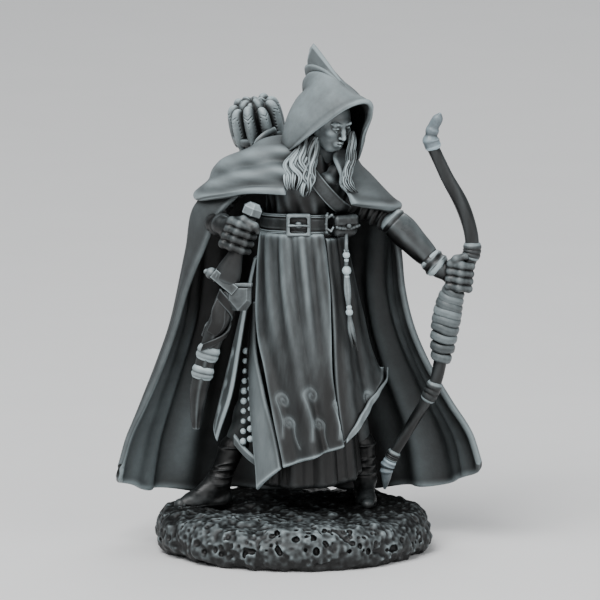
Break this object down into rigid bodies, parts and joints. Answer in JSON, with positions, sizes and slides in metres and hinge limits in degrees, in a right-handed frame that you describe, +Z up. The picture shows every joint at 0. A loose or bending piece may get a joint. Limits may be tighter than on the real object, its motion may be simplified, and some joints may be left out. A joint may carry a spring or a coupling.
{
  "type": "painted miniature figure",
  "caption": "Painted tabletop gaming miniature: a hooded, cloaked archer with a bow in one hand and the other on a sheathed sword, standing on a round pitted base.",
  "frame": {"origin": "middle of the flat underside of the round base", "axes": "+Z up out of the base; the figure faces -Y; the figure's bow hand is towards +X"},
  "size_m": [0.0269, 0.02, 0.0369],
  "materials": {
    "stone": "matte dark grey paint with pale highlights on the rims of the pits",
    "boot_leather": "satin dark grey paint, pale on the edges",
    "dark_cloth": "matte near-black paint",
    "tunic": "matte mid grey paint, streaked pale on the raised pleats",
    "pale_lining": "matte pale grey paint with a white edge",
    "panel": "matte dark grey paint with pale scrollwork and a pale edge",
    "bead": "satin pale grey paint",
    "belt_leather": "satin dark grey paint with pale edges",
    "metal_trim": "satin pale grey paint imitating steel, white on the edges",
    "skin": "satin light grey paint, darker in the hollows",
    "glove": "satin grey paint, white on the knuckles",
    "bracer": "satin grey paint shaded dark to the edges",
    "grip": "satin dark paint",
    "scabbard": "satin near-black paint",
    "wrap": "matte pale grey paint",
    "bow_wood": "satin dark grey paint with a pale streak along the edge",
    "horn": "satin pale grey paint",
    "hair": "matte pale grey paint with near-white strands",
    "hood_cloth": "matte pale grey paint, shaded softly",
    "mantle_cloth": "matte pale grey paint, shaded in the folds",
    "cloak_cloth": "matte grey paint outside, shading to near black inside",
    "quiver_leather": "satin near-black paint",
    "feather": "matte pale grey paint with dark grooves"
  },
  "bodies": {
    "root": {"base": "stone", "right_boot": "boot_leather", "left_boot": "boot_leather", "right_leg": "dark_cloth", "left_leg": "dark_cloth", "under_skirt": "dark_cloth", "front_panel": "tunic", "facing_panel": "pale_lining", "left_panel": "tunic", "right_panel": "panel", "bead_trim": "bead", "torso": "tunic", "collar": "tunic", "chest_strap": "belt_leather", "belt": "belt_leather", "belt_buckle": "metal_trim", "buckle_prong": "metal_trim", "belt_keeper": "metal_trim", "belt_pouch": "belt_leather", "tassel_beads": "metal_trim", "tassel_tail": "belt_leather", "right_sleeve": "dark_cloth", "right_hand": "glove", "left_sleeve": "dark_cloth", "left_vambrace": "bracer", "left_cuff": "dark_cloth", "left_hand": "glove", "sword_pommel": "metal_trim", "sword_grip": "grip", "sword_guard": "metal_trim", "scabbard": "scabbard", "scabbard_locket": "metal_trim", "scabbard_wrap": "wrap", "scabbard_bands": "wrap", "bow_stave": "bow_wood", "bow_binding": "wrap", "bow_bands": "wrap", "bow_upper_nock": "horn", "bow_lower_nock": "horn", "head": "skin", "right_hair": "hair", "left_hair": "hair", "hood": "hood_cloth", "mantle": "mantle_cloth", "cloak": "cloak_cloth", "quiver": "quiver_leather", "quiver_rim": "quiver_leather", "arrow_fletchings": "feather"}
  },
  "joints": []
}
